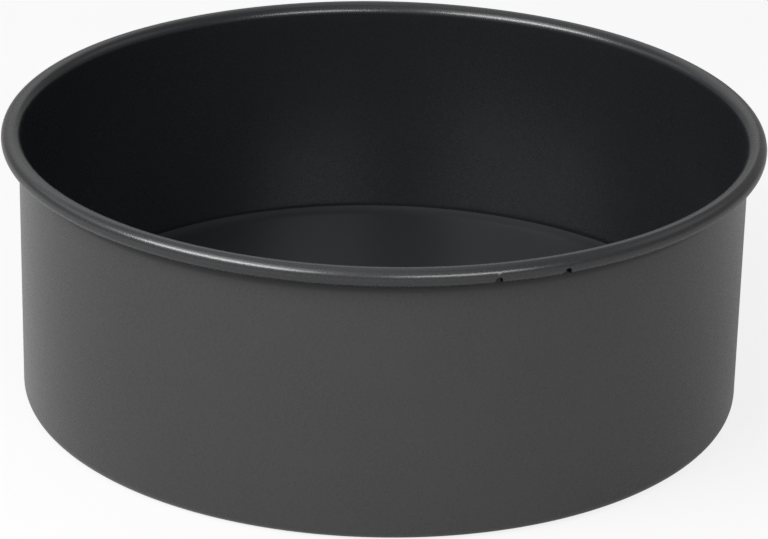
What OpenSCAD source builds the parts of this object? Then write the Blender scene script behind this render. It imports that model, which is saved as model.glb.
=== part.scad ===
// Round deep cake pan with a loose bottom: a one-sheet steel ring with a hollow rolled rim
// and a stepped foot, and a separate base disc that rests on the ring's inner ledge.
// The origin is on the table, on the pan's axis. +Z is up and -Y is the front.

/* [Pan] */
// Inside diameter of the wall
inner_d = 200; // [120:1:320]
// Height from the table to the top of the rim
pan_h = 78; // [40:0.1:120]
// Thickness of the ring's sheet
sheet_t = 0.8; // [0.5:0.05:1.2]

/* [Rolled rim] */
// How far the rolled rim stands out from the wall's outer face
rim_out = 4.8; // [4.4:0.1:7]
// Height of the rolled rim, and of the half round on its outer side
rim_h = 5.1; // [4:0.1:5.6]
// Gap between the wall and the rolled sheet's free edge
rim_gap = 1.1; // [0.6:0.1:1.6]

/* [Drain notches] */
// Number of notches through the rim's outer half
notch_count = 2; // [1:1:4]
// Angle from the front of the pan to the first notch, to the right
notch_from = 16.3; // [0:0.1:60]
// Angle from one notch to the next
notch_step = 10.3; // [6:0.1:40]
// Width of a notch in its round top
notch_w = 1.8; // [1:0.1:2.4]
// How much wider a notch is where it runs out through the rim's lower face
notch_flare = 1; // [0:0.1:2]
// How far the top of a notch lies below the top of the rim
notch_drop = 2.6; // [2:0.1:3]

/* [Foot] */
// Outer radius of the two bends between wall, foot and web
foot_bend = 3; // [1.6:0.1:4]
// Width of the flat that stands on the table
foot_flat = 1.6; // [1:0.1:4]

/* [Ledge] */
// Height of the ledge that carries the loose base
ledge_h = 10.5; // [8:0.1:16]
// Width of the ledge from the web to the push-up hole
ledge_w = 8; // [6:0.1:14]
// Outer radius of the bend from the web to the ledge
ledge_bend = 1.8; // [1.4:0.1:2.4]
// Outer radius of the bend at the push-up hole's turned-down edge
edge_bend = 1.6; // [1.4:0.1:2]
// Straight length of the turned-down edge below its bend
edge_drop = 1.2; // [0.4:0.1:3]

/* [Loose base] */
// Thickness of the base's sheet
base_t = 1; // [0.6:0.05:1.4]
// Radial clearance between the base and the wall
base_gap = 0.6; // [0.3:0.05:1]
// Inner radius of the bend at the base's turned-up edge
lip_bend = 5.5; // [3:0.1:7]
// Angle through which the base's edge is turned up
lip_angle = 40; // [30:1:60]

/* [Hidden] */
// Extra length of every cut past the face that it opens
overrun = 1;
$fn = 180;

inner_r = inner_d / 2;
wall_r = inner_r + sheet_t;
rim_r = wall_r + rim_out;
rim_bend = rim_h / 2;
rim_z = pan_h - rim_bend;
rim_top_r = rim_r - rim_bend;
wall_bend = rim_top_r - inner_r;
wall_top = pan_h - wall_bend;
foot_r = wall_r - foot_bend;
web_foot_r = foot_r - foot_flat;
web_r = web_foot_r - foot_bend;
ledge_r = web_r + sheet_t - ledge_bend;
hole_r = web_r + sheet_t - ledge_w;
edge_r = hole_r + edge_bend;
base_r = inner_r - base_gap;
lip_mid = lip_bend + base_t / 2;
lip_z = ledge_h + base_t + lip_bend;
base_flat_r = base_r - base_t / 2 - lip_mid * sin(lip_angle);
notch_r = notch_w / 2;
notch_top = pan_h - notch_drop;
notch_mouth_r = notch_r + notch_flare / 2;

// A stretch of sheet seen in section: a box from one corner to the opposite one
module run(low, high) {
    translate(low) square(high - low);
}

// A bend of the sheet seen in section: part of a ring, from one angle through a turn of up to 90 degrees
module bend(centre, bend_r, sheet, from, turn = 90) {
    reach = 2 * bend_r;
    translate(centre) intersection() {
        difference() {
            circle(bend_r);
            circle(bend_r - sheet);
        }
        polygon([
            [0, 0],
            reach * [cos(from), sin(from)],
            reach * [cos(from + turn / 2), sin(from + turn / 2)],
            reach * [cos(from + turn), sin(from + turn)]
        ]);
    }
}

// The rolled rim: bent out from the wall as far as its top, round the outer side and back towards the wall
module rim_section() {
    bend([rim_top_r, wall_top], wall_bend, sheet_t, 90);
    bend([rim_top_r, rim_z], rim_bend, sheet_t, 0);
    bend([rim_top_r, rim_z], rim_bend, sheet_t, -90);
    run([wall_r + rim_gap, pan_h - rim_h], [rim_top_r, pan_h - rim_h + sheet_t]);
}

// The foot under the wall, the web that climbs inside it, and the ledge with its turned-down edge
module foot_section() {
    bend([foot_r, foot_bend], foot_bend, sheet_t, -90);
    run([web_foot_r, 0], [foot_r, sheet_t]);
    bend([web_foot_r, foot_bend], foot_bend, sheet_t, 180);
    run([web_r, foot_bend], [web_r + sheet_t, ledge_h - ledge_bend]);
    bend([ledge_r, ledge_h - ledge_bend], ledge_bend, sheet_t, 0);
    run([edge_r, ledge_h - sheet_t], [ledge_r, ledge_h]);
    bend([edge_r, ledge_h - edge_bend], edge_bend, sheet_t, 90);
    run([hole_r, ledge_h - edge_bend - edge_drop], [hole_r + sheet_t, ledge_h - edge_bend]);
}

// One drain notch: an arch with flared sides, cut in from outside as far as the gap behind the roll
module notch_cut() {
    inward = wall_r + rim_gap / 2;
    translate([inward, 0, 0])
        rotate([90, 0, 90])
            linear_extrude(rim_r + overrun - inward) {
                translate([0, notch_top - notch_r]) circle(notch_r);
                polygon([
                    [-notch_r, notch_top - notch_r],
                    [-notch_mouth_r, pan_h - rim_h],
                    [-notch_mouth_r, pan_h - rim_h - overrun],
                    [notch_mouth_r, pan_h - rim_h - overrun],
                    [notch_mouth_r, pan_h - rim_h],
                    [notch_r, notch_top - notch_r]
                ]);
            }
}

// The pan's ring, drawn from one sheet: rolled rim, straight wall, foot and ledge
module pan_ring() {
    color([0.27, 0.27, 0.28]) difference() {
        rotate_extrude() {
            rim_section();
            run([inner_r, foot_bend], [wall_r, wall_top]);
            foot_section();
        }
        for (i = [0 : notch_count - 1])
            rotate(notch_from + i * notch_step - 90) notch_cut();
    }
}

// The loose base: a flat disc with a turned-up, rounded edge that rests on the ledge
module loose_base() {
    lip_end = [base_flat_r + lip_mid * sin(lip_angle), lip_z - lip_mid * cos(lip_angle)];
    color([0.18, 0.18, 0.19]) rotate_extrude() {
        run([0, ledge_h], [base_flat_r, ledge_h + base_t]);
        bend([base_flat_r, lip_z], lip_bend + base_t, base_t, -90, lip_angle);
        translate(lip_end) circle(base_t / 2);
    }
}

pan_ring();
loose_base();
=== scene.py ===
import math

import bpy
from mathutils import Matrix, Vector


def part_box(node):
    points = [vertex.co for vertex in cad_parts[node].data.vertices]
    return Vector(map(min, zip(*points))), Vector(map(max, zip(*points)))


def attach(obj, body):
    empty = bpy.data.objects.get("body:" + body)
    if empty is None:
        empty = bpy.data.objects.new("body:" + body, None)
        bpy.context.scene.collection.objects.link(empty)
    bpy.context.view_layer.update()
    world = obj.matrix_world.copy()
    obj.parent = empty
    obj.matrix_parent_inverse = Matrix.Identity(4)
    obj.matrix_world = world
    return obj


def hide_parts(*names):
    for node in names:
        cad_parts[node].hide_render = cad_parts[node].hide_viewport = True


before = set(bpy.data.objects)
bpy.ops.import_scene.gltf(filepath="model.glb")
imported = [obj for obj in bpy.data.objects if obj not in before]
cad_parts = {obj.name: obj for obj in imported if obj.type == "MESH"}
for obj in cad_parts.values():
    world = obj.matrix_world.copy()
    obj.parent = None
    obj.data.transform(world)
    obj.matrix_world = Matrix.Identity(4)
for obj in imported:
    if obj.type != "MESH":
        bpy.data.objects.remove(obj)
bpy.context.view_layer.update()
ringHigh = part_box("pan_ring")[1]
baseLow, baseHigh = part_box("loose_base")
mm = 0.001
print("packed model loaded")


# Camera: fitted to the outlines of the rim, the wall and the bottom
cameraSetup = {
    "place": (0, -891.9 * mm, 414.9 * mm),
    "target": (0.73 * mm, 0, 33.47 * mm),
    "rollDegrees": 1.218,
    "lens": 161.4,  # lens and sensor are in millimetres
    "sensor": 36,
    "nearest": 10 * mm,
}


def makeCamera(setup):
    data = bpy.data.cameras.new("studioCamera")
    data.sensor_fit = "HORIZONTAL"
    data.sensor_width = setup["sensor"]
    data.lens = setup["lens"]
    data.clip_start = setup["nearest"]
    place = Vector(setup["place"])
    ahead = (Vector(setup["target"]) - place).normalized()
    right = ahead.cross(Vector((0, 0, 1))).normalized()
    up = right.cross(ahead)
    roll = Matrix.Rotation(math.radians(-setup["rollDegrees"]), 3, ahead)
    right = roll @ right
    up = roll @ up
    camera = bpy.data.objects.new("studioCamera", data)
    camera.matrix_world = Matrix.Translation(place) @ Matrix((right, up, -ahead)).transposed().to_4x4()
    bpy.context.scene.collection.objects.link(camera)
    bpy.context.scene.camera = camera


makeCamera(cameraSetup)
print("camera placed")


class Wire:
    # one output socket of a node tree: sums and products of wires add their Math nodes
    def __init__(self, tree, socket=None):
        self.tree = tree
        self.socket = socket

    def plug(self, value, target):
        if isinstance(value, Wire):
            self.tree.links.new(value.socket, target)
        else:
            target.default_value = value

    def node(self, kind, settings, inputs, output=0):
        made = self.tree.nodes.new(kind)
        for name, value in settings.items():
            setattr(made, name, value)
        for name, value in inputs.items():
            self.plug(value, made.inputs[name])
        return Wire(self.tree, made.outputs[output] if made.outputs else None)

    def math(self, operation, first, second):
        return self.node("ShaderNodeMath", {"operation": operation}, {0: first, 1: second})

    def mix(self, share, first, second):
        return self.node("ShaderNodeMix", {"data_type": "RGBA"}, {0: share, 6: first, 7: second}, 2)

    def __add__(self, other):
        return self.math("ADD", self, other)

    def __radd__(self, other):
        return self.math("ADD", other, self)

    def __mul__(self, other):
        return self.math("MULTIPLY", self, other)

    def __rmul__(self, other):
        return self.math("MULTIPLY", other, self)


def startMaterial(name):
    material = bpy.data.materials.new(name)
    material.use_nodes = True
    material.node_tree.nodes.clear()
    return material, Wire(material.node_tree)


def finishMaterial(wire, shader):
    wire.node("ShaderNodeOutputMaterial", {}, {"Surface": shader})


def makeObject(name, vertices, faces, material):
    # a smooth mesh with one material, linked to the scene
    mesh = bpy.data.meshes.new(name)
    mesh.from_pydata(vertices, [], faces)
    mesh.polygons.foreach_set("use_smooth", [True] * len(mesh.polygons))
    mesh.materials.append(material)
    made = bpy.data.objects.new(name, mesh)
    bpy.context.scene.collection.objects.link(made)
    return made


# Studio: a white paper sweep that rises behind the pan, soft lamps, and a dim room around them
studio = {
    "paperHalf": 4.0,
    "paperDrop": 0.05 * mm,
    "paperTone": 0.62,
    "paperGlow": 0.82,  # how far the camera sees the paper lifted to white
    "paperShine": 0.5,  # how far gloss sees it lifted to the shine's tone
    "shineTone": 0.4,
    "sweepBehind": 2.0,
    "sweepBend": 0.3,
    "sweepSteps": 12,
    "sweepHeight": 0.7,
    "sweepHalf": 1.7,
    "roomTone": 0.25,
    "aim": (0, 0, 40 * mm),
}
# azimuth is counted from +X towards +Y, and radiance is what a mirror would show
lamps = {
    "keyLeft": {"azimuth": 219, "elevation": 38, "distance": 1.3, "size": (1.10, 0.28), "radiance": 19},
    "keyUpper": {"azimuth": 210, "elevation": 54, "distance": 1.5, "size": (1.0, 0.45), "radiance": 3.2},
    "stripFront": {"azimuth": 293, "elevation": 29, "distance": 1.3, "size": (0.70, 0.24), "radiance": 12},
    "fillFront": {"azimuth": 265, "elevation": 24, "distance": 1.6, "size": (2.2, 0.8), "radiance": 0.2},
    "fillLeft": {"azimuth": 165, "elevation": 30, "distance": 1.5, "size": (1.0, 0.5), "radiance": 0.8},
    "fillRight": {"azimuth": 15, "elevation": 36, "distance": 1.5, "size": (1.0, 0.6), "radiance": 0.4},
    "fillHigh": {"azimuth": 265, "elevation": 66, "distance": 1.5, "size": (1.3, 0.9), "radiance": 0.4},
    "fillTop": {"azimuth": 120, "elevation": 74, "distance": 1.4, "size": (1.1, 0.9), "radiance": 0.5},
    "fillBehind": {"azimuth": 105, "elevation": 34, "distance": 1.5, "size": (1.6, 0.6), "radiance": 0.6},
}


def paperMaterial(setup):
    # the camera sees the paper lifted to white, and gloss sees it lifted too, but no other light changes
    material, wire = startMaterial("sweepPaper")
    tone, shine = setup["paperTone"], setup["shineTone"]
    paper = wire.node("ShaderNodeBsdfDiffuse", {}, {"Color": (tone, tone, tone, 1)})
    pale = wire.node("ShaderNodeEmission", {}, {"Color": (shine, shine, shine, 1), "Strength": 1.0})
    white = wire.node("ShaderNodeEmission", {}, {"Color": (1, 1, 1, 1), "Strength": 1.0})
    mirrored = wire.node("ShaderNodeLightPath", {}, {}, "Is Glossy Ray")
    mirrored = mirrored + wire.node("ShaderNodeLightPath", {}, {}, "Is Transmission Ray")
    mirrored = mirrored * setup["paperShine"]
    seen = wire.node("ShaderNodeLightPath", {}, {}, "Is Camera Ray") * setup["paperGlow"]
    shader = wire.node("ShaderNodeMixShader", {}, {0: mirrored, 1: paper, 2: pale})
    finishMaterial(wire, wire.node("ShaderNodeMixShader", {}, {0: seen, 1: shader, 2: white}))
    return material


def makeSweep(setup):
    # the floor, and a narrower strip of it that bends up behind the pan
    half, drop = setup["paperHalf"], -setup["paperDrop"]
    side, bend, steps = setup["sweepHalf"], setup["sweepBend"], setup["sweepSteps"]
    start = setup["sweepBehind"] - bend
    rise = []
    for i in range(steps + 1):
        turn = math.radians(90) * i / steps
        rise.append((start + bend * math.sin(turn), drop + bend * (1 - math.cos(turn))))
    rise.append((setup["sweepBehind"], setup["sweepHeight"]))
    vertices = [(-half, -half, drop), (half, -half, drop), (half, start, drop), (-half, start, drop)]
    faces = [(0, 1, 2, 3)]
    for i, (y, z) in enumerate(rise):
        left, right = len(vertices), len(vertices) + 1
        vertices += [(-side, y, z), (side, y, z)]
        if i > 0:
            faces.append((left - 2, right - 2, right, left))
    makeObject("sweep", vertices, faces, paperMaterial(setup))


def makeRoom(setup):
    world = bpy.data.worlds.new("studioRoom")
    world.use_nodes = True
    world.node_tree.nodes.clear()
    wire = Wire(world.node_tree)
    room = wire.node("ShaderNodeBackground", {}, {"Color": (1, 1, 1, 1), "Strength": setup["roomTone"]})
    wire.node("ShaderNodeOutputWorld", {}, {"Surface": room})
    bpy.context.scene.world = world


def makeLamp(name, lamp, aim):
    data = bpy.data.lights.new(name, "AREA")
    data.shape = "RECTANGLE"
    data.size, data.size_y = lamp["size"]
    data.energy = lamp["radiance"] * math.pi * data.size * data.size_y
    lampObject = bpy.data.objects.new(name, data)
    around = math.radians(lamp["azimuth"])
    upward = math.radians(lamp["elevation"])
    flat = math.cos(upward)
    away = Vector((flat * math.cos(around), flat * math.sin(around), math.sin(upward)))
    lampObject.location = Vector(aim) + away * lamp["distance"]
    lampObject.rotation_euler = away.to_track_quat("Z", "Y").to_euler()
    lampObject.visible_camera = False
    bpy.context.scene.collection.objects.link(lampObject)


makeSweep(studio)
makeRoom(studio)
for lampName, lamp in lamps.items():
    makeLamp(lampName, lamp, studio["aim"])
bpy.context.scene.view_settings.view_transform = "Standard"
print("studio lit")


# Finish of both pieces: satin non-stick coats with a fine grain, dark on the food side and greyer outside
coatFinish = {
    "foodDark": (0.0076, 0.0081, 0.0093, 1),
    "foodLight": (0.0120, 0.0129, 0.0147, 1),
    "outerDark": (0.0202, 0.0204, 0.0213, 1),
    "outerLight": (0.0312, 0.0315, 0.0331, 1),
    "ior": 1.55,
    "roughness": 0.28,
    "roughnessSpread": 0.1,
    "grainShare": 0.75,  # the rest of the mottle is the cloud
    "grainScale": 1500,
    "grainDetail": 2.0,
    "cloudScale": 55,
    "cloudDetail": 3.0,
    "bumpStrength": 0.10,
    "bumpDepth": 0.05 * mm,
    # near-black painted shade: on the sheet's cut edges, inside the rim's curl and on the wall just under
    # the rim
    "bareEdgeAndShade": (0.0050, 0.0052, 0.0056, 1),
    "edgeAndShadeMetal": 0.45,
    "edgeAndShadeRoughness": 0.25,  # what the cut edges and the painted shade add to the coat's
    "seed": 0,
}
# the base lies deeper in the pan and is a little duller than the ring
baseFinish = dict(
    coatFinish,
    foodDark=(0.0102, 0.0109, 0.0125, 1),
    foodLight=(0.0162, 0.0174, 0.0198, 1),
    ior=1.40,
    roughness=0.40,
    seed=3,
)


def noise(wire, place, scale, detail):
    return wire.node("ShaderNodeTexNoise", {}, {"Vector": place, "Scale": scale, "Detail": detail})


def coatMaterial(name, finish):
    material, wire = startMaterial(name)
    seed = finish["seed"]
    place = wire.node("ShaderNodeTexCoord", {}, {}, "Object")
    place = wire.node("ShaderNodeVectorMath", {"operation": "ADD"}, {0: place, 1: (seed, seed, seed)})
    grain = noise(wire, place, finish["grainScale"], finish["grainDetail"])
    cloud = noise(wire, place, finish["cloudScale"], finish["cloudDetail"])
    outside = wire.node("ShaderNodeAttribute", {"attribute_name": "greyCoatAndRimShade"}, {}, "Fac")
    # painted shade: near black on the cut edges, inside the rim's curl and on the wall just under the rim
    edgeAndShade = wire.node("ShaderNodeAttribute", {"attribute_name": "bareEdgeAndShade"}, {}, "Fac")
    mottle = finish["grainShare"] * grain + (1 - finish["grainShare"]) * cloud
    food = wire.mix(mottle, finish["foodDark"], finish["foodLight"])
    outer = wire.mix(mottle, finish["outerDark"], finish["outerLight"])
    spread = finish["roughnessSpread"]
    roughness = finish["roughness"] - spread / 2 + spread * mottle + finish["edgeAndShadeRoughness"] * edgeAndShade
    bump = {"Strength": finish["bumpStrength"], "Distance": finish["bumpDepth"], "Height": grain}
    surface = {
        "Base Color": wire.mix(edgeAndShade, wire.mix(outside, food, outer), finish["bareEdgeAndShade"]),
        "Roughness": roughness,
        "Metallic": finish["edgeAndShadeMetal"] * edgeAndShade,  # a dark metal hardly mirrors the pale floor, which keeps the painted shade dark
        "Normal": wire.node("ShaderNodeBump", {}, bump),
        "IOR": finish["ior"],
    }
    finishMaterial(wire, wire.node("ShaderNodeBsdfPrincipled", {}, surface))
    return material


# How both sheets are drawn: turns round the pan, points round a free end, how square that end is,
# and the angle from which an edge is sharp
sheetMesh = {"turns": 240, "endSteps": 6, "endSquare": 0.4, "sharpDegrees": 55}


def axes(heading):
    # the directions ahead and to the left
    ahead = Vector((math.cos(heading), math.sin(heading)))
    return ahead, Vector((-ahead.y, ahead.x))


class SheetWalk:
    # the middle line of a bent sheet, made of straight runs and round bends
    def __init__(self, start, heading):
        self.steps = []
        self.length = 0
        self.point = Vector(start)
        self.heading = heading

    def run(self, length):
        self.addStep(length, 0)

    def bend(self, radius, degrees):
        turn = math.radians(degrees)
        self.addStep(radius * abs(turn), turn)

    def addStep(self, length, turn):
        step = {"begin": self.length, "length": length, "turn": turn}
        step.update(point=self.point, heading=self.heading)
        self.steps.append(step)
        self.point, self.heading = self.walkStep(step, length)
        self.length += length

    def walkStep(self, step, distance):
        ahead, left = axes(step["heading"])
        if step["turn"] == 0:
            return step["point"] + ahead * distance, step["heading"]
        radius = step["length"] / step["turn"]
        heading = step["heading"] + distance / radius
        return step["point"] + left * radius - axes(heading)[1] * radius, heading

    def at(self, distance):
        for step in self.steps:
            if distance <= step["begin"] + step["length"] or step is self.steps[-1]:
                return self.walkStep(step, distance - step["begin"])

    def stations(self, size):
        # distances along the line: close together in bends, by each bend's own step, wide apart on runs
        found = [0]
        bendSteps = iter(size["bendSteps"])
        for step in self.steps:
            if step["turn"]:
                # rounded first, so that a whole number of steps stays whole
                count = math.ceil(round(abs(math.degrees(step["turn"])) / next(bendSteps), 3))
            else:
                count = math.ceil(step["length"] / size["runStep"])
            found += [step["begin"] + step["length"] * (i + 1) / count for i in range(count)]
        return found


def endPoints(point, heading, size):
    # a free end of the sheet seen in section, from its left face to its right one
    half, steps, square = size["sheet"] / 2, sheetMesh["endSteps"], sheetMesh["endSquare"]
    ahead, left = axes(heading)
    found = []
    for i in range(1, steps):
        turn = math.pi / 2 - math.pi * i / steps
        along = size["edgeRound"] * math.cos(turn) ** square
        across = half * math.copysign(abs(math.sin(turn)) ** square, math.sin(turn))
        # the cut end is marked for the near-black painted shade
        found.append((point + along * ahead + across * left, (1, 0)))
    return found


def sectionLoop(line, distances, size, endAtStart, faceMarks):
    # both faces of the sheet and its free ends: left face forwards, right face back; each point is marked
    # with how far it is painted near black as shade (cut edges, the curl's inside, the wall under the
    # rim), and how far it has the grey coat
    half = size["sheet"] / 2
    loop = []
    for distance in distances:
        point, heading = line.at(distance)
        loop.append((point + half * axes(heading)[1], faceMarks("left", distance)))
    loop += endPoints(point, heading, size)
    for distance in reversed(distances):
        point, heading = line.at(distance)
        loop.append((point - half * axes(heading)[1], faceMarks("right", distance)))
    if endAtStart:
        loop += endPoints(point, heading + math.pi, size)
    return loop


def revolve(angles, loopAt, closed):
    # a section turned round the axis: its points, their marks, and faces from each angle to the next
    vertices, marks, faces = [], [], []
    for i, angle in enumerate(angles):
        loop = loopAt(angle)
        for point, mark in loop:
            vertices.append((point.x * math.cos(angle), point.x * math.sin(angle), point.y))
            marks.append(mark)
        count = len(loop)
        here, there = i * count, (i + 1) % len(angles) * count
        for j in range(count if closed else count - 1):
            k = (j + 1) % count
            faces.append((here + j, here + k, there + k, there + j))
    return vertices, marks, faces


def makePiece(name, shape, material, body, node):
    vertices, marks, faces = shape
    piece = makeObject(name, vertices, faces, material)
    for i, attribute in enumerate(("bareEdgeAndShade", "greyCoatAndRimShade")):
        layer = piece.data.attributes.new(attribute, "FLOAT", "POINT")
        layer.data.foreach_set("value", [float(mark[i]) for mark in marks])
    piece.data.set_sharp_from_angle(angle=math.radians(sheetMesh["sharpDegrees"]))
    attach(piece, body)
    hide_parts(node)
    return piece


# The ring's sheet, walked along its middle line from the rim's free edge to the push-up hole
ringSheet = {
    "sheet": 0.8 * mm,
    "rimOut": 4.8 * mm,
    "rimHeight": 5.1 * mm,
    "rimGap": 1.1 * mm,
    "footBend": 3 * mm,
    "footFlat": 1.6 * mm,
    "ledgeWidth": 8 * mm,
    "ledgeBend": 1.8 * mm,
    "edgeBend": 1.6 * mm,
    "edgeDrop": 1.2 * mm,
    "edgeRound": 0.15 * mm,
    "bendSteps": (9, 9, 11.25, 15, 15, 22.5),  # degrees: rim, into the wall, foot, web, ledge, edge
    "runStep": 20 * mm,
}
notches = {
    "fromFront": (16.3, 26.6),  # degrees to the right
    "halfWidth": 0.9 * mm,
    "halfMouth": 1.4 * mm,
    "top": 2.6 * mm,
    "limitShare": 0.55,  # no notch reaches past this share of the rim's bend
    "raise": 0.13 * mm,
    "raiseReach": 0.6 * mm,
    "raiseLeast": 0.001 * mm,
    "archSteps": 9,
    "flareShares": (0.3, 0.6, 0.98),  # stations from the arch to the mouth
    "besideShares": (1.01, 1.15, 1.4, 1.7),  # stations beside the mouth, in half mouths
    "clearShare": 2,  # within so many half mouths none of the even steps is kept
}
# the grey coat is thin on the bead; under the rim a dull dark strip of painted shade takes its place, and
# the inside of the rim's curl is painted as shade too; places are counted down the wall from its top end
greyCoatAndRimShade = {
    "bead": 0.45,
    "beadInnerShare": 0.35,
    "wall": ((3.2 * mm, 0), (4.4 * mm, 0.35), (5.2 * mm, 0.65), (7 * mm, 0.9), (10 * mm, 1)),
    "edgeAndShade": ((2.6 * mm, 1), (3.4 * mm, 0.5), (4.4 * mm, 0.35), (5.2 * mm, 0)),
}


def walkRing(size):
    # middle line of the ring's section, in radius and height
    half = size["sheet"] / 2
    rimBend = size["rimHeight"] / 2
    rimTop = ringHigh.x - rimBend
    wallOuter = ringHigh.x - size["rimOut"]
    wallBend = rimTop - wallOuter + size["sheet"]
    freeEdge = wallOuter + size["rimGap"] + size["edgeRound"]
    line = SheetWalk((freeEdge, ringHigh.z - size["rimHeight"] + half), 0)
    line.run(rimTop - freeEdge)
    line.bend(rimBend - half, 180)
    line.bend(wallBend - half, 90)
    line.run(ringHigh.z - wallBend - size["footBend"])
    line.bend(size["footBend"] - half, -90)
    line.run(size["footFlat"])
    line.bend(size["footBend"] - half, -90)
    line.run(baseLow.z - size["ledgeBend"] - size["footBend"])
    line.bend(size["ledgeBend"] - half, 90)
    line.run(size["ledgeWidth"] - size["ledgeBend"] - size["edgeBend"])
    line.bend(size["edgeBend"] - half, 90)
    line.run(size["edgeDrop"] - size["edgeRound"])
    return line


def between(knots, place):
    # value at a place along a row of (place, value) knots
    if place <= knots[0][0]:
        return knots[0][1]
    for (first, low), (second, high) in zip(knots, knots[1:]):
        if place <= second:
            return low + (high - low) * (place - first) / (second - first)
    return knots[-1][1]


def cutBack(across, line, size):
    # how far a notch cuts the sheet back from its free edge, at a distance across from its middle
    reach, halfWidth, halfMouth = abs(across), size["halfWidth"], size["halfMouth"]
    if reach >= halfMouth:
        return 0
    rollEnd, rim = line.steps[:2]
    bendRadius = rim["length"] / math.pi
    outer = bendRadius + ringSheet["sheet"] / 2
    archLow = ringSheet["rimHeight"] / 2 - size["top"] - halfWidth
    if reach > halfWidth:
        share = (halfMouth - reach) / (halfMouth - halfWidth)
        height = -outer + (archLow + outer) * share
    else:
        height = archLow + math.sqrt(halfWidth ** 2 - reach ** 2)
    return rollEnd["length"] + bendRadius * (math.asin(height / outer) + math.pi / 2)


def ringAngles(size, centres, radius):
    # even steps round the pan, and many more close to the notches
    turns, steps = sheetMesh["turns"], size["archSteps"]
    halfWidth, halfMouth = size["halfWidth"], size["halfMouth"]
    across = [halfWidth * math.sin(math.radians(90 * (i + 1) / steps)) for i in range(steps)]
    across += [halfWidth + (halfMouth - halfWidth) * share for share in size["flareShares"]]
    across += [halfMouth * share for share in size["besideShares"]]
    clear = size["clearShare"] * halfMouth / radius
    found = [math.tau * i / turns - math.pi for i in range(turns)]
    for centre in centres:
        found = [angle for angle in found if abs(angle - centre) > clear] + [centre]
        for reach in across:
            found += [centre - reach / radius, centre + reach / radius]
    return sorted(found)


def raiseAt(point, across, rimMiddle, size):
    # how far the punch has raised the bead's outer side, just above a notch
    if point.x < rimMiddle.x:
        return 0
    outer = ringSheet["rimHeight"] / 2
    top = math.asin((outer - size["top"]) / outer)
    turn = math.atan2(point.y - rimMiddle.y, point.x - rimMiddle.x)
    reach = math.hypot(across, (turn - top) * outer)
    return size["raise"] * math.exp(-(reach / size["raiseReach"]) ** 2)


def makeRing():
    line = walkRing(ringSheet)
    rim, wallBend, wall = line.steps[1:4]
    radius, outer = ringHigh.x, ringSheet["rimHeight"] / 2
    rimMiddle = Vector((radius - outer, ringHigh.z - outer))
    notchLimit = rim["begin"] + notches["limitShare"] * rim["length"]
    beadEnd = wallBend["begin"] + greyCoatAndRimShade["beadInnerShare"] * wallBend["length"]
    greyAndRimShade = [(wall["begin"] + place, share) for place, share in greyCoatAndRimShade["wall"]]
    edgeAndShade = [(wall["begin"] + place, share) for place, share in greyCoatAndRimShade["edgeAndShade"]]
    stations = sorted(line.stations(ringSheet) + [place for place, share in greyAndRimShade])
    centres = [math.radians(angle - 90) for angle in notches["fromFront"]]

    def faceMarks(side, distance):
        if side == "left":
            # the outer face is painted dark as shade just under the rim, with the grey coat fading in
            # below it
            return between(edgeAndShade, distance), between(greyAndRimShade, distance)
        return 0, greyCoatAndRimShade["bead"] if distance < beadEnd else 0

    def loopAt(angle):
        # the section at one angle, squeezed back from a notch's arch and raised above it
        across = min((angle - centre for centre in centres), key=abs) * radius
        start = cutBack(across, line, notches)
        distances = [start + s * (1 - start / notchLimit) if s < notchLimit else s for s in stations]
        found = []
        for point, mark in sectionLoop(line, distances, ringSheet, True, faceMarks):
            rise = raiseAt(point, across, rimMiddle, notches)
            if rise > notches["raiseLeast"]:
                point = point + (point - rimMiddle).normalized() * rise
            found.append((point, mark))
        return found

    shape = revolve(ringAngles(notches, centres, radius), loopAt, True)
    coat = coatMaterial("ringCoat", coatFinish)
    return makePiece("panRing", shape, coat, "ring", "pan_ring")


# The base's sheet, walked along its middle line from the axis to its turned-up edge
baseSheet = {
    "sheet": 1.0 * mm,
    "lipBend": 7.7 * mm,
    "lipDegrees": 34,
    "edgeRound": 0.2 * mm,
    "bendSteps": (5,),
    "runStep": 16 * mm,
}


def walkBase(size):
    # middle line of the base's section, in radius and height
    half = size["sheet"] / 2
    middle = size["lipBend"] + half
    turn = math.radians(size["lipDegrees"])
    edge = size["edgeRound"] * math.cos(turn) + half * math.sin(turn)
    line = SheetWalk((0, baseLow.z + half), 0)
    line.run(baseHigh.x - edge - middle * math.sin(turn))
    line.bend(middle, size["lipDegrees"])
    return line


def makeBase():
    # the section leaves out the axis, where two middle points close the mesh instead
    line = walkBase(baseSheet)
    stations = line.stations(baseSheet)[1:]
    loop = sectionLoop(line, stations, baseSheet, False, lambda side, distance: (0, side == "right"))
    turns, count = sheetMesh["turns"], len(loop)
    angles = [math.tau * i / turns for i in range(turns)]
    vertices, marks, faces = revolve(angles, lambda angle: loop, False)
    top, below = len(vertices), len(vertices) + 1
    vertices += [(0, 0, baseLow.z + baseSheet["sheet"]), (0, 0, baseLow.z)]
    marks += [(0, 0), (0, 1)]
    for i in range(turns):
        here, there = i * count, (i + 1) % turns * count
        faces.append((top, here, there))
        faces.append((below, there + count - 1, here + count - 1))
    coat = coatMaterial("baseCoat", baseFinish)
    return makePiece("looseBase", (vertices, marks, faces), coat, "base", "loose_base")


ring = makeRing()
base = makeBase()
print("ring and base made:", len(ring.data.polygons), "and", len(base.data.polygons), "faces")
